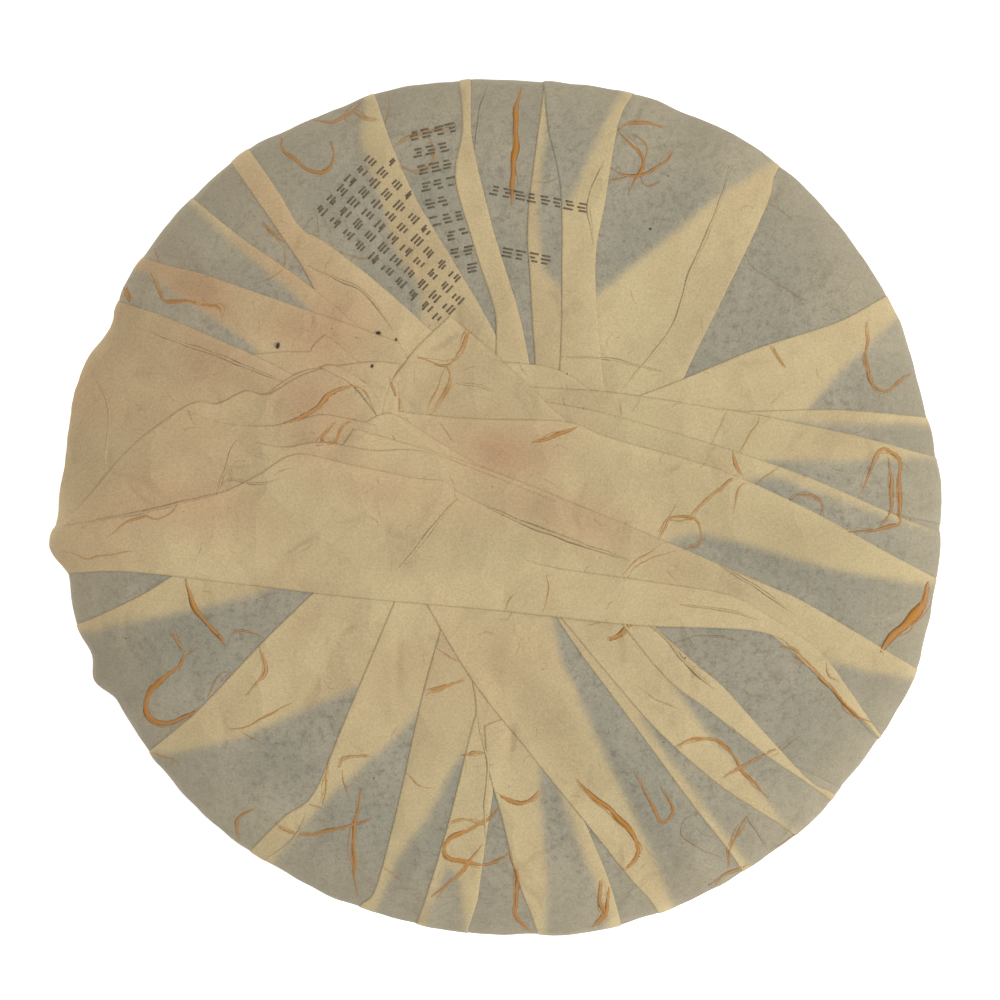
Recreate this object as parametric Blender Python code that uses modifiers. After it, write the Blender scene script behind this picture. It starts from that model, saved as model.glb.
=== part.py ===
# A round cake of pressed tea, shut in its paper wrapper, lying on its domed front with the pleated back up.
# Metres, +Z up. The origin is on the ground, under the middle of the cake.
# The shut pack is one solid: a turned body, whose paper folds are thin raised layers joined to it.

from math import atan2, cos, degrees, exp, hypot, radians, sin, sqrt

import bmesh
import bpy
from mathutils import Vector

MM = 0.001

# the cake
RADIUS = 100.0 * MM          # nominal, before the wrapper's uneven outline
BACK_HEIGHT = 26.4 * MM      # the pleated back, without its folds
RIM_HEIGHT = 10.5 * MM       # height of the widest line
FOOT_RADIUS = 58.0 * MM      # flat spot that the front rests on
SHOULDER_POWER = 5.0         # higher is a squarer shoulder
FRONT_POWER = 2.2            # the curve of the domed front
HOLLOW_DEPTH = 1.8 * MM      # the paper sags over the hollow in the cake's back
HOLLOW_RADIUS = 24.0 * MM

TURN_STEPS = 90
BACK_STATIONS = (0.0, 0.16, 0.32, 0.46, 0.58, 0.69, 0.78, 0.855, 0.915, 0.955, 0.982, 0.996, 1.0)
FRONT_STATIONS = (1.0, 0.975, 0.91, 0.8, 0.62, 0.38, 0.0)   # fractions of the way from foot to rim

# The wrapper's outline: angle in degrees from +X, radius in mm.
OUTLINE = (
    (0, 100.4), (12, 99.4), (30, 100.7), (50, 100.9), (68, 99.9), (84, 97.8), (96, 98.4), (106, 99.3),
    (115, 98.8), (127, 100.4), (140, 100.4), (150, 100.9), (155, 98.6), (161, 101.1), (174, 101.2),
    (180, 102.2), (185, 103.4), (189, 101.3), (195, 102.1), (200, 100.6), (203, 102.4), (207, 99.3),
    (215, 99.5), (226, 99.0), (240, 98.1), (256, 97.9), (270, 98.9), (286, 100.1), (302, 100.3),
    (320, 100.9), (333, 101.8), (346, 101.0),
)
OUTLINE_FADE = 0.55 * RADIUS   # inside this radius the body is truly round

# Pleats that fan from the middle to the rim. Each is a tapering strip of folded paper along one fold line:
# angle of its rim end, width there, angle and radius of its inner end, width there, and the side it lies on,
# +1 for the left as seen from the rim. Angles are in degrees, sizes in mm.
PLEATS = (
    (152.0, 26.0, 148.0, 56.0, 16.0, 1),
    (144.9, 5.0, 128.8, 52.0, 9.0, 1),
    (135.2, 1.8, 129.7, 58.0, 4.0, 1),
    (125.8, 4.5, 111.8, 43.0, 10.0, 1),
    (107.3, 3.0, 95.3, 43.0, 9.0, 1),
    (94.8, 1.6, 79.6, 32.5, 7.5, 1),
    (84.5, 1.6, 77.8, 34.0, 5.0, -1),
    (73.2, 4.0, 51.5, 36.0, 9.5, 1),
    (50.8, 3.5, 35.7, 50.0, 18.0, 1),
    (28.8, 6.0, 39.4, 40.0, 9.0, -1),
    (6.5, 2.0, 23.6, 54.0, 8.0, -1),
    (-9.4, 2.5, 36.2, 27.0, 13.0, -1),
    (-21.5, 3.5, 70.0, 10.0, 18.0, -1),
    (-41.1, 1.8, -39.3, 42.0, 4.0, -1),
    (-48.6, 2.5, -58.0, 44.0, 12.0, 1),
    (-56.8, 1.8, -65.0, 28.0, 4.5, 1),
    (-69.4, 4.5, -124.0, 26.0, 24.0, 1),
    (-85.9, 5.0, -93.5, 60.0, 8.0, 1),
    (-101.8, 3.0, -98.0, 48.0, 6.5, 1),
    (-109.9, 3.0, -116.0, 35.0, 10.0, 1),
    (-124.5, 4.0, -138.0, 32.0, 12.0, 1),
    (-145.3, 3.5, -155.7, 46.0, 18.0, 1),
    (-164.4, 3.0, -168.0, 74.0, 6.0, 1),
)
PLEAT_LIFT = 0.45 * MM         # three layers of soft handmade paper
LIFT_SPREAD = 0.03 * MM        # neighbours differ, as folds do
RIM_OVERRUN = 8.0 * MM         # a fold line runs out past the rim, so that its strip goes over the edge

# Broad folded sheets that close the middle, as corners in mm, with their lift above the body.
CORNER_SHEET = ((-12.3, 43.3), (-26.0, 28.0), (-24.0, 20.0), (16.0, 18.0))
CORNER_LIFT = 0.75 * MM
CROSS_FLAP = (
    (-112.0, -16.0), (-112.0, -9.0), (-71.0, 23.6), (-44.0, 30.8), (-33.0, 17.5), (0.0, 7.0),
    (43.0, -10.9), (70.0, -28.0), (93.0, -55.0), (84.0, -55.0), (59.0, -28.8), (11.0, -24.7), (-43.0, -19.3),
)
FLAP_LIFT = 1.1 * MM
RIM_REACH = 2.5 * MM           # how far below the widest line the flap's edge goes

PAPER_COLOUR = (0.50, 0.39, 0.23, 1.0)
PAPER_ROUGHNESS = 0.85


def clear_scene():
    for item in list(bpy.data.objects):
        bpy.data.objects.remove(item, do_unlink=True)


def make_collection(name):
    collection = bpy.data.collections.new(name)
    bpy.context.scene.collection.children.link(collection)
    return collection


def back_height(fraction, lift):
    """Height of the back at a fraction of the radius, from the rim up to its flat and in to its hollow."""
    rise = (BACK_HEIGHT + lift - RIM_HEIGHT) * sqrt(max(0.0, 1.0 - fraction ** SHOULDER_POWER))
    hollow = HOLLOW_DEPTH * exp(-(fraction * RADIUS / HOLLOW_RADIUS) ** 2)
    return RIM_HEIGHT + rise - hollow


def front_height(fraction):
    """Height of the domed front at a fraction of the way from the foot to the rim."""
    return RIM_HEIGHT * (1.0 - sqrt(max(0.0, 1.0 - fraction ** FRONT_POWER)))


def profile(lift):
    """Half section from the middle of the back, over the rim, to the middle of the front."""
    radius = RADIUS + lift
    points = [(fraction * radius, back_height(fraction, lift)) for fraction in BACK_STATIONS]
    for fraction in FRONT_STATIONS[1:]:
        points.append((FOOT_RADIUS + fraction * (radius - FOOT_RADIUS), front_height(fraction)))
    points.append((0.0, 0.0))
    return points


def outline_radius(angle):
    """Radius of the wrapper's outline at an angle in degrees, eased between the named points."""
    angle %= 360.0
    ring = list(OUTLINE) + [(OUTLINE[0][0] + 360.0, OUTLINE[0][1])]
    for (start, low), (end, high) in zip(ring, ring[1:]):
        if start <= angle <= end:
            share = (angle - start) / (end - start)
            ease = share * share * (3.0 - 2.0 * share)
            return (low + (high - low) * ease) * MM
    return RADIUS


def follow_outline(mesh):
    """Moves each point out or in, so that the round body takes the wrapper's outline towards its rim."""
    for vertex in mesh.vertices:
        distance = hypot(vertex.co.x, vertex.co.y)
        if distance <= OUTLINE_FADE:
            continue
        share = min(1.0, (distance - OUTLINE_FADE) / (RADIUS - OUTLINE_FADE))
        stretch = outline_radius(degrees(atan2(vertex.co.y, vertex.co.x))) / RADIUS - 1.0
        scale = 1.0 + stretch * share * share
        vertex.co.x *= scale
        vertex.co.y *= scale


def turned_body(name, lift, collection):
    """The wrapped cake as a closed turned solid, its back and rim raised by lift."""
    points = profile(lift)
    mesh = bpy.data.meshes.new(name + "_profile")
    edges = [(i, i + 1) for i in range(len(points) - 1)]
    mesh.from_pydata([(x, 0.0, z) for x, z in points], edges, [])
    line = bpy.data.objects.new(name + "_profile", mesh)
    collection.objects.link(line)
    screw = line.modifiers.new("turn", "SCREW")
    screw.steps = TURN_STEPS
    screw.render_steps = TURN_STEPS
    screw.use_merge_vertices = True
    screw.merge_threshold = 0.00001
    depsgraph = bpy.context.evaluated_depsgraph_get()
    turned = bpy.data.meshes.new_from_object(line.evaluated_get(depsgraph))
    bpy.data.objects.remove(line, do_unlink=True)
    follow_outline(turned)
    turned.name = name
    body = bpy.data.objects.new(name, turned)
    collection.objects.link(body)
    return body


def prism(name, corners, base, collection):
    """A flat outline, extruded from a base height to well above the back."""
    curve = bpy.data.curves.new(name, "CURVE")
    curve.dimensions = "2D"
    curve.fill_mode = "BOTH"
    top = BACK_HEIGHT + 6.0 * MM
    curve.extrude = (top - base) / 2.0
    spline = curve.splines.new("POLY")
    spline.points.add(len(corners) - 1)
    for point, (x, y) in zip(spline.points, corners):
        point.co = (x, y, 0.0, 1.0)
    spline.use_cyclic_u = True
    outline = bpy.data.objects.new(name + "_outline", curve)
    collection.objects.link(outline)
    depsgraph = bpy.context.evaluated_depsgraph_get()
    mesh = bpy.data.meshes.new_from_object(outline.evaluated_get(depsgraph))
    bpy.data.objects.remove(outline, do_unlink=True)
    shape = bmesh.new()
    shape.from_mesh(mesh)
    bmesh.ops.remove_doubles(shape, verts=shape.verts, dist=0.000001)
    bmesh.ops.recalc_face_normals(shape, faces=shape.faces)
    shape.to_mesh(mesh)
    shape.free()
    solid = bpy.data.objects.new(name, mesh)
    solid.location.z = (top + base) / 2.0
    collection.objects.link(solid)
    return solid


def pleat_corners(rim_angle, rim_width, inner_angle, inner_radius, inner_width, side):
    """Four corners of a pleat: its fold line from rim to middle, and its far edge beside it."""
    reach = RADIUS + RIM_OVERRUN
    outer = Vector((cos(radians(rim_angle)), sin(radians(rim_angle)))) * reach
    inner = Vector((cos(radians(inner_angle)), sin(radians(inner_angle)))) * inner_radius * MM
    along = (inner - outer).normalized()
    across = Vector((-along.y, along.x)) * -side
    return (outer, inner, inner + across * inner_width * MM, outer + across * rim_width * MM)


def join(body, other, operation, solver="EXACT"):
    boolean = body.modifiers.new(operation.lower() + "_" + other.name, "BOOLEAN")
    boolean.operation = operation
    boolean.solver = solver
    boolean.object = other


def folded_layer(name, corners, lift, cutters):
    """A layer of folded paper: the part of a slightly larger body that lies inside an outline.

    Thicker layers reach a little further down the rim, so that no two of them end at one height.
    """
    layer = turned_body(name, lift, cutters)
    base = RIM_HEIGHT - RIM_REACH * lift / FLAP_LIFT
    join(layer, prism(name + "_edge", corners, base, cutters), "INTERSECT")
    return layer


def hide_cutters(cutters):
    for item in cutters.objects:
        item.hide_render = True
        item.display_type = "WIRE"


def paper_material():
    material = bpy.data.materials.new("paper")
    material.use_nodes = True
    shader = material.node_tree.nodes["Principled BSDF"]
    shader.inputs["Base Color"].default_value = PAPER_COLOUR
    shader.inputs["Roughness"].default_value = PAPER_ROUGHNESS
    shader.inputs["Metallic"].default_value = 0.0
    return material


def main():
    clear_scene()
    parts = make_collection("wrapped_tea_cake_parts")
    cutters = make_collection("fold_outlines")

    cake = turned_body("wrapped_tea_cake", 0.0, parts)
    for number, pleat in enumerate(PLEATS):
        lift = PLEAT_LIFT + LIFT_SPREAD * (number % 4)
        join(cake, folded_layer(f"pleat_{number + 1:02d}", pleat_corners(*pleat), lift, cutters), "UNION")
    for name, corners, lift in (
        ("corner_sheet", CORNER_SHEET, CORNER_LIFT),
        ("cross_flap", CROSS_FLAP, FLAP_LIFT),
    ):
        scaled = [(x * MM, y * MM) for x, y in corners]
        join(cake, folded_layer(name, scaled, lift, cutters), "UNION", solver="MANIFOLD")

    cake.data.materials.append(paper_material())
    cake.data.shade_smooth()
    cake.data.set_sharp_from_angle(angle=radians(25.0))
    hide_cutters(cutters)


main()
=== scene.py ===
# A round cake of pressed tea in a handmade paper wrapper, pleated back up, on a pale table.
# The plain wrapped solid of the frame is replaced by folded sheets of paper, laid one over another.
# Lengths in the settings are millimetres seen from straight above, with the middle of the cake at 0, 0.

import math

import bpy
import numpy as np
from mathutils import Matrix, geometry


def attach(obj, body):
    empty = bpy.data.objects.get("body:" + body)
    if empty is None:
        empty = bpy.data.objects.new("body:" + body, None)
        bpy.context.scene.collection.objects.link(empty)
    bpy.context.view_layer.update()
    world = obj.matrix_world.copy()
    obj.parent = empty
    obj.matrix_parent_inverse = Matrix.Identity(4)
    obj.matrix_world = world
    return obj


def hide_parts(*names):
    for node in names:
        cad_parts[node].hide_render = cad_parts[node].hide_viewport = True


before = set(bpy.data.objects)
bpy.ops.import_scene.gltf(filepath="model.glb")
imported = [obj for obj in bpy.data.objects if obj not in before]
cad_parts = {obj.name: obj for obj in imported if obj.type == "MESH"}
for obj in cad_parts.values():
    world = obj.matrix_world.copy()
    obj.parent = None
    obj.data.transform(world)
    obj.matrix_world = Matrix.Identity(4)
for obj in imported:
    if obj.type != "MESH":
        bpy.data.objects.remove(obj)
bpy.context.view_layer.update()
mm = 0.001
rng = np.random.default_rng(7)

for extra in [o for o in bpy.data.objects if o.type in ("CAMERA", "LIGHT")]:
    bpy.data.objects.remove(extra)

# the cake under the paper: the same turned form and uneven outline as the frame
cake = {
    "radius": 100.0,
    "backHeight": 26.4,
    "rimHeight": 10.5,
    "footRadius": 58.0,
    "shoulderPower": 5.0,
    "frontPower": 2.2,
    "hollowDepth": 1.8,
    "hollowRadius": 24.0,
    "outlineFade": 55.0,
    "outline": [  # degrees from +X, radius
        (0, 100.4), (12, 99.4), (30, 100.7), (50, 100.9), (68, 99.9), (84, 97.8), (96, 98.4),
        (106, 99.3), (115, 98.8), (127, 100.4), (140, 100.4), (150, 100.9), (155, 98.6),
        (161, 101.1), (174, 101.2), (180, 102.2), (185, 103.4), (189, 101.3), (195, 102.1),
        (200, 100.6), (203, 102.4), (207, 99.3), (215, 99.5), (226, 99.0), (240, 98.1),
        (256, 97.9), (270, 98.9), (286, 100.1), (302, 100.3), (320, 100.9), (333, 101.8), (346, 101.0),
    ],
    "lumpFine": (2.0, 0.055),   # spread and height of the lumps that the leaves press into the paper
    "lumpWide": (8.0, 0.22),
    "rimGathers": 0.28,         # height of the small gathers round the edge
}


def smoothStep(a, b, v):
    t = np.clip((v - a) / (b - a), 0, 1)
    return t * t * (3 - 2 * t)


def makeProfile():
    # from the middle of the back, over the rim, to the middle of the front: run length, radius, height
    t = np.linspace(0, 1, 700)
    f = 1 - (1 - t) ** 2
    r = cake["radius"] * f
    zBack = cake["rimHeight"] + (cake["backHeight"] - cake["rimHeight"]) * np.sqrt(1 - f ** cake["shoulderPower"])
    zBack = zBack - cake["hollowDepth"] * np.exp(-(r / cake["hollowRadius"]) ** 2)
    u = 1 - np.linspace(0, 1, 500)[1:] ** 1.6
    rFront = cake["footRadius"] + (cake["radius"] - cake["footRadius"]) * u
    zFront = cake["rimHeight"] * (1 - np.sqrt(np.clip(1 - u ** cake["frontPower"], 0, 1)))
    rFoot = np.linspace(cake["footRadius"], 0, 60)[1:]
    r = np.concatenate([r, rFront, rFoot])
    z = np.concatenate([zBack, zFront, np.zeros(len(rFoot))])
    s = np.concatenate([[0], np.cumsum(np.hypot(np.diff(r), np.diff(z)))])
    even = np.linspace(0, s[-1], 2400)
    r = np.interp(even, s, r)
    z = np.interp(even, s, z)
    dr = np.gradient(r, even)
    dz = np.gradient(z, even)
    size = np.hypot(dr, dz)
    return even, r, z, -dz / size, dr / size, s[699]


runS, runR, runZ, runNr, runNz, rimRun = makeProfile()
outlineDeg = np.array([a for a, r in cake["outline"]] + [360.0])
outlineMm = np.array([r for a, r in cake["outline"]] + [cake["outline"][0][1]])


def outlineAt(theta):
    deg = np.degrees(theta) % 360
    i = np.clip(np.searchsorted(outlineDeg, deg, side="right") - 1, 0, len(outlineDeg) - 2)
    t = (deg - outlineDeg[i]) / (outlineDeg[i + 1] - outlineDeg[i])
    t = t * t * (3 - 2 * t)
    return outlineMm[i] + (outlineMm[i + 1] - outlineMm[i]) * t


def stretch(theta, r):
    share = np.clip((r - cake["outlineFade"]) / (cake["radius"] - cake["outlineFade"]), 0, 1)
    return 1 + (outlineAt(theta) / cake["radius"] - 1) * share ** 2


backPart = runS <= rimRun


def toFlat(points):
    # a point seen from above, to its place on the wrapper laid flat; beyond the outline it goes over the rim
    p = np.asarray(points, float).reshape(-1, 2)
    rho = np.hypot(p[:, 0], p[:, 1])
    theta = np.arctan2(p[:, 1], p[:, 0])
    edge = outlineAt(theta)
    r = rho.copy()
    for _ in range(4):
        r = rho / stretch(theta, np.minimum(r, cake["radius"]))
    s = np.interp(np.minimum(r, cake["radius"]), runR[backPart], runS[backPart])
    s = np.where(rho > edge, rimRun + (rho - edge), s)
    return np.stack([s * np.cos(theta), s * np.sin(theta)], 1)


def toSpace(flat, lift):
    # a place on the flat wrapper and a height above the cake, to metres
    s = np.hypot(flat[:, 0], flat[:, 1])
    theta = np.arctan2(flat[:, 1], flat[:, 0])
    r = np.interp(s, runS, runR)
    rho = r * stretch(theta, r) + np.interp(s, runS, runNr) * lift
    z = np.interp(s, runS, runZ) + np.interp(s, runS, runNz) * lift
    return np.stack([rho * np.cos(theta), rho * np.sin(theta), z], 1) * mm


# a grid over the flat wrapper, which keeps the height of the paper as sheets are added
gridStep = 0.5
gridHalf = 132.0
gridN = int(2 * gridHalf / gridStep) + 1
axis = np.linspace(-gridHalf, gridHalf, gridN)
gridX, gridY = np.meshgrid(axis, axis)
gridRun = np.hypot(gridX, gridY)
freq = np.fft.fftfreq(gridN, gridStep)
freq2 = freq[:, None] ** 2 + freq[None, :] ** 2


def soften(field, spread):
    return np.real(np.fft.ifft2(np.fft.fft2(field) * np.exp(-2 * (math.pi * spread) ** 2 * freq2)))


def softNoise(spread):
    n = soften(rng.standard_normal((gridN, gridN)), spread)
    return n / n.std()


def streaks(angle, long, short):
    # noise drawn out along a direction, as wrinkles are along a fold
    c = math.cos(angle)
    s = math.sin(angle)
    along = freq[None, :] * c + freq[:, None] * s
    across = -freq[None, :] * s + freq[:, None] * c
    keep = np.exp(-2 * math.pi ** 2 * ((long * along) ** 2 + (short * across) ** 2))
    n = np.real(np.fft.ifft2(np.fft.fft2(rng.standard_normal((gridN, gridN))) * keep))
    return n / n.std()


def sample(field, flat):
    u = np.clip((flat[:, 0] + gridHalf) / gridStep, 0, gridN - 1.001)
    v = np.clip((flat[:, 1] + gridHalf) / gridStep, 0, gridN - 1.001)
    i = v.astype(int)
    j = u.astype(int)
    a = v - i
    b = u - j
    return ((field[i, j] * (1 - b) + field[i, j + 1] * b) * (1 - a)
            + (field[i + 1, j] * (1 - b) + field[i + 1, j + 1] * b) * a)


def insideMask(flatLine, xs, ys):
    inside = np.zeros(xs.shape, bool)
    x0, y0 = flatLine[-1]
    for x1, y1 in flatLine:
        if y0 != y1:
            cross = ((y0 > ys) != (y1 > ys)) & (xs < (x1 - x0) * (ys - y0) / (y1 - y0) + x0)
            inside ^= cross
        x0, y0 = x1, y1
    return inside


def distanceTo(line, points):
    best = np.full(len(points), 1e9)
    for a, b in zip(line, np.roll(line, -1, 0)):
        d = b - a
        t = np.clip(((points - a) @ d) / max(d @ d, 1e-9), 0, 1)
        best = np.minimum(best, np.hypot(*(points - a - t[:, None] * d).T))
    return best


def curveThrough(points, step):
    # a smooth line through given points, walked in even steps
    p = [np.array(q, float) for q in points]
    if len(p) == 2:
        n = max(1, int(math.dist(*p) / step))
        return [tuple(p[0] + (p[1] - p[0]) * i / n) for i in range(n + 1)]
    ends = [2 * p[0] - p[1], *p, 2 * p[-1] - p[-2]]
    out = []
    for a, b, c, d in zip(ends, ends[1:], ends[2:], ends[3:]):
        n = max(1, int(math.dist(b, c) / step))
        for i in range(n):
            t = i / n
            out.append(tuple(0.5 * (2 * b + (c - a) * t + (2 * a - 5 * b + 4 * c - d) * t * t
                                    + (3 * b - a - 3 * c + d) * t ** 3)))
    return out + [tuple(p[-1])]


def walk(line, step):
    # even steps along a line, corners kept
    out = []
    for a, b in zip(line, line[1:]):
        n = max(1, int(math.ceil(math.dist(a, b) / step)))
        out += [tuple(np.array(a) + (np.array(b) - np.array(a)) * i / n) for i in range(n)]
    return out + [tuple(line[-1])]


def rim(x, y, run=13.0):
    # the place just past the rim, straight out from a point
    theta = math.atan2(y, x)
    r = float(outlineAt(np.array([theta]))[0]) + run
    return (r * math.cos(theta), r * math.sin(theta))


# the paper
paper = {
    "single": (0.345, 0.306, 0.220),      # one layer, with the dark tea just under it
    "singleCool": (0.290, 0.268, 0.200),
    "singleSpeck": (0.200, 0.180, 0.130),
    "rimTone": (0.355, 0.302, 0.202),
    "folded": (0.512, 0.410, 0.226),      # three layers of a fold
    "foldedDeep": (0.474, 0.366, 0.202),
    "stain": (0.330, 0.290, 0.190),       # where the tea has marked the folds
    "blush": (0.446, 0.288, 0.160),       # where the red of the front shows through
    "fibre": (0.420, 0.172, 0.022),
    # colour of the painted shade along fold edges and crease lines
    "creaseShade": (0.250, 0.165, 0.070),
    "roughness": 0.86,
    "speckScale": 620.0,                  # bits of leaf behind one layer
    "pulpScale": 2200.0,
    "cloudScale": 45.0,
    "spotScale": 210.0,
    "facetScale": 85.0,
    "crackScale": 52.0,
    "grain": 0.25,                        # strength of the pulp's relief
    "wrinkle": 0.55,                      # strength of the sharp small creases
    "crumple": 0.75,                      # strength of the soft facets of handled paper
}


def mixNode(tree, factor, a, b, kind="MIX"):
    n = tree.nodes.new("ShaderNodeMix")
    n.data_type = "RGBA"
    n.blend_type = kind
    for socket, kindOf, value in (("Factor", "VALUE", factor), ("A", "RGBA", a), ("B", "RGBA", b)):
        target = [i for i in n.inputs if i.name == socket and i.type == kindOf][0]
        if isinstance(value, (float, int)):
            target.default_value = value
        elif isinstance(value, tuple):
            target.default_value = (*value, 1)
        else:
            tree.links.new(value, target)
    return [o for o in n.outputs if o.type == "RGBA"][0]


def noiseNode(tree, where, scale, detail=3.0, rough=0.55):
    n = tree.nodes.new("ShaderNodeTexNoise")
    n.inputs["Scale"].default_value = scale
    n.inputs["Detail"].default_value = detail
    n.inputs["Roughness"].default_value = rough
    tree.links.new(where, n.inputs["Vector"])
    return n.outputs["Fac"]


def rangeNode(tree, value, low, high, toLow=0.0, toHigh=1.0):
    n = tree.nodes.new("ShaderNodeMapRange")
    n.interpolation_type = "SMOOTHSTEP"
    n.inputs["From Min"].default_value = low
    n.inputs["From Max"].default_value = high
    n.inputs["To Min"].default_value = toLow
    n.inputs["To Max"].default_value = toHigh
    tree.links.new(value, n.inputs["Value"])
    return n.outputs["Result"]


def attributeNode(tree, name):
    n = tree.nodes.new("ShaderNodeAttribute")
    n.attribute_name = name
    return n.outputs["Fac"]


def makePaper():
    mat = bpy.data.materials.new("handmadePaper")
    mat.use_nodes = True
    tree = mat.node_tree
    shader = tree.nodes["Principled BSDF"]
    where = tree.nodes.new("ShaderNodeTexCoord").outputs["Object"]
    speck = noiseNode(tree, where, paper["speckScale"], 4.0, 0.75)
    pulp = noiseNode(tree, where, paper["pulpScale"], 4.0, 0.6)
    cloud = noiseNode(tree, where, paper["cloudScale"], 4.0, 0.6)
    spots = noiseNode(tree, where, paper["spotScale"], 3.0, 0.6)
    reach = tree.nodes.new("ShaderNodeVectorMath")
    reach.operation = "LENGTH"
    tree.links.new(where, reach.inputs[0])
    outward = rangeNode(tree, reach.outputs["Value"], 0.035, 0.088)
    single = mixNode(tree, rangeNode(tree, cloud, 0.36, 0.64), paper["singleCool"], paper["single"])
    single = mixNode(tree, outward, mixNode(tree, 0.6, single, paper["singleCool"]), single)
    single = mixNode(tree, rangeNode(tree, speck, 0.44, 0.78), single, paper["singleSpeck"])
    atRim = rangeNode(tree, reach.outputs["Value"], 0.078, 0.108, 0.0, 0.7)
    single = mixNode(tree, atRim, single, paper["rimTone"])
    folded = mixNode(tree, rangeNode(tree, cloud, 0.35, 0.7), paper["folded"], paper["foldedDeep"])
    folded = mixNode(tree, rangeNode(tree, spots, 0.66, 0.80, 0.0, 0.45), folded, paper["stain"])
    colour = mixNode(tree, attributeNode(tree, "layers"), single, folded)
    colour = mixNode(tree, attributeNode(tree, "blush"), colour, paper["blush"])
    light = rangeNode(tree, pulp, 0.25, 0.75, 0.86, 1.10)
    # brightness from the tone attribute: random tone of the sheets, and painted highlight just inside fold edges
    toneAndHighlight = rangeNode(tree, attributeNode(tree, "toneAndHighlight"), 0.0, 1.0, 0.93, 1.06)
    both = tree.nodes.new("ShaderNodeMath")
    both.operation = "MULTIPLY"
    tree.links.new(light, both.inputs[0])
    tree.links.new(toneAndHighlight, both.inputs[1])
    combine = tree.nodes.new("ShaderNodeCombineColor")
    for channel in combine.inputs:
        tree.links.new(both.outputs[0], channel)
    colour = mixNode(tree, 1.0, colour, combine.outputs["Color"], "MULTIPLY")
    # painted shade along fold edges and crease lines
    colour = mixNode(tree, attributeNode(tree, "creaseShade"), colour, paper["creaseShade"])
    colour = mixNode(tree, attributeNode(tree, "fibre"), colour, paper["fibre"])
    tree.links.new(colour, shader.inputs["Base Color"])
    shader.inputs["Roughness"].default_value = paper["roughness"]
    shader.inputs["Specular IOR Level"].default_value = 0.25
    warp = tree.nodes.new("ShaderNodeTexNoise")
    warp.inputs["Scale"].default_value = 60.0
    tree.links.new(where, warp.inputs["Vector"])
    bent = tree.nodes.new("ShaderNodeVectorMath")
    bent.operation = "MULTIPLY_ADD"
    bent.inputs[1].default_value = (0.012, 0.012, 0.012)
    tree.links.new(warp.outputs["Color"], bent.inputs[0])
    tree.links.new(where, bent.inputs[2])
    facets = tree.nodes.new("ShaderNodeTexVoronoi")
    facets.inputs["Scale"].default_value = paper["facetScale"]
    tree.links.new(bent.outputs["Vector"], facets.inputs["Vector"])
    crumple = tree.nodes.new("ShaderNodeBump")
    crumple.inputs["Strength"].default_value = paper["crumple"]
    crumple.inputs["Distance"].default_value = 0.0018
    tree.links.new(facets.outputs["Distance"], crumple.inputs["Height"])
    cracks = tree.nodes.new("ShaderNodeTexVoronoi")
    cracks.feature = "DISTANCE_TO_EDGE"
    cracks.inputs["Scale"].default_value = paper["crackScale"]
    tree.links.new(bent.outputs["Vector"], cracks.inputs["Vector"])
    sharp = rangeNode(tree, cracks.outputs["Distance"], 0.0, 0.10)
    wrinkle = tree.nodes.new("ShaderNodeBump")
    tree.links.new(rangeNode(tree, cloud, 0.42, 0.62, 0.0, paper["wrinkle"]), wrinkle.inputs["Strength"])
    wrinkle.inputs["Distance"].default_value = 0.0006
    tree.links.new(sharp, wrinkle.inputs["Height"])
    tree.links.new(crumple.outputs["Normal"], wrinkle.inputs["Normal"])
    grain = tree.nodes.new("ShaderNodeBump")
    grain.inputs["Strength"].default_value = paper["grain"]
    grain.inputs["Distance"].default_value = 0.0003
    tree.links.new(pulp, grain.inputs["Height"])
    tree.links.new(wrinkle.outputs["Normal"], grain.inputs["Normal"])
    tree.links.new(grain.outputs["Normal"], shader.inputs["Normal"])
    return mat


def plainMaterial(name, colour, roughness):
    mat = bpy.data.materials.new(name)
    mat.use_nodes = True
    tree = mat.node_tree
    shader = tree.nodes["Principled BSDF"]
    where = tree.nodes.new("ShaderNodeTexCoord").outputs["Object"]
    vary = rangeNode(tree, noiseNode(tree, where, 700.0), 0.3, 0.7)
    dark = tuple(c * 0.7 for c in colour)
    tree.links.new(mixNode(tree, vary, dark, colour), shader.inputs["Base Color"])
    shader.inputs["Roughness"].default_value = roughness
    return mat


paperMat = makePaper()
inkMat = plainMaterial("fadedInk", (0.150, 0.110, 0.062), 0.8)
teaMat = plainMaterial("teaCrumb", (0.030, 0.018, 0.010), 0.7)
print("paper, ink and tea finishes made")


def addPiece(name, verts, faces, material, values=None):
    mesh = bpy.data.meshes.new(name)
    mesh.from_pydata([tuple(v) for v in verts], [], faces)
    mesh.shade_smooth()
    for key, numbers in (values or {}).items():
        layer = mesh.attributes.new(key, "FLOAT", "POINT")
        layer.data.foreach_set("value", np.asarray(numbers, np.float32))
    mesh.materials.append(material)
    mesh.update()
    piece = bpy.data.objects.new(name, mesh)
    bpy.context.scene.collection.objects.link(piece)
    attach(piece, "root")
    return piece


# the sheet that everything lies on: one layer round the whole cake
blushSpots = [  # place, half sizes, turn in degrees, strength
    (-84, 28, 26, 22, 0, 0.62), (-94, 2, 16, 18, 0, 0.55), (-60, 30, 30, 10, -24, 0.70),
    (-66, 10, 26, 12, 15, 0.80), (-2, 14, 15, 7, 0, 0.95), (-20, 4, 26, 7, -15, 0.35),
    (14, -2, 26, 6, -20, 0.45), (-30, -14, 40, 7, -6, 0.12), (-16, 28, 10, 8, 0, 0.30),
    (-72, 50, 24, 11, -24, 0.95), (-48, 46, 24, 11, -30, 0.90), (-52, 64, 18, 9, -52, 0.85),
    (22, 8, 18, 7, -15, 0.15), (-60, -30, 24, 14, 40, 0.20), (-10, -36, 16, 12, 0, 0.25),
    (-24, 58, 10, 16, 30, 0.25), (2, 62, 8, 26, 8, 0.20), (-40, 28, 14, 6, -10, 0.30),
]


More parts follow.
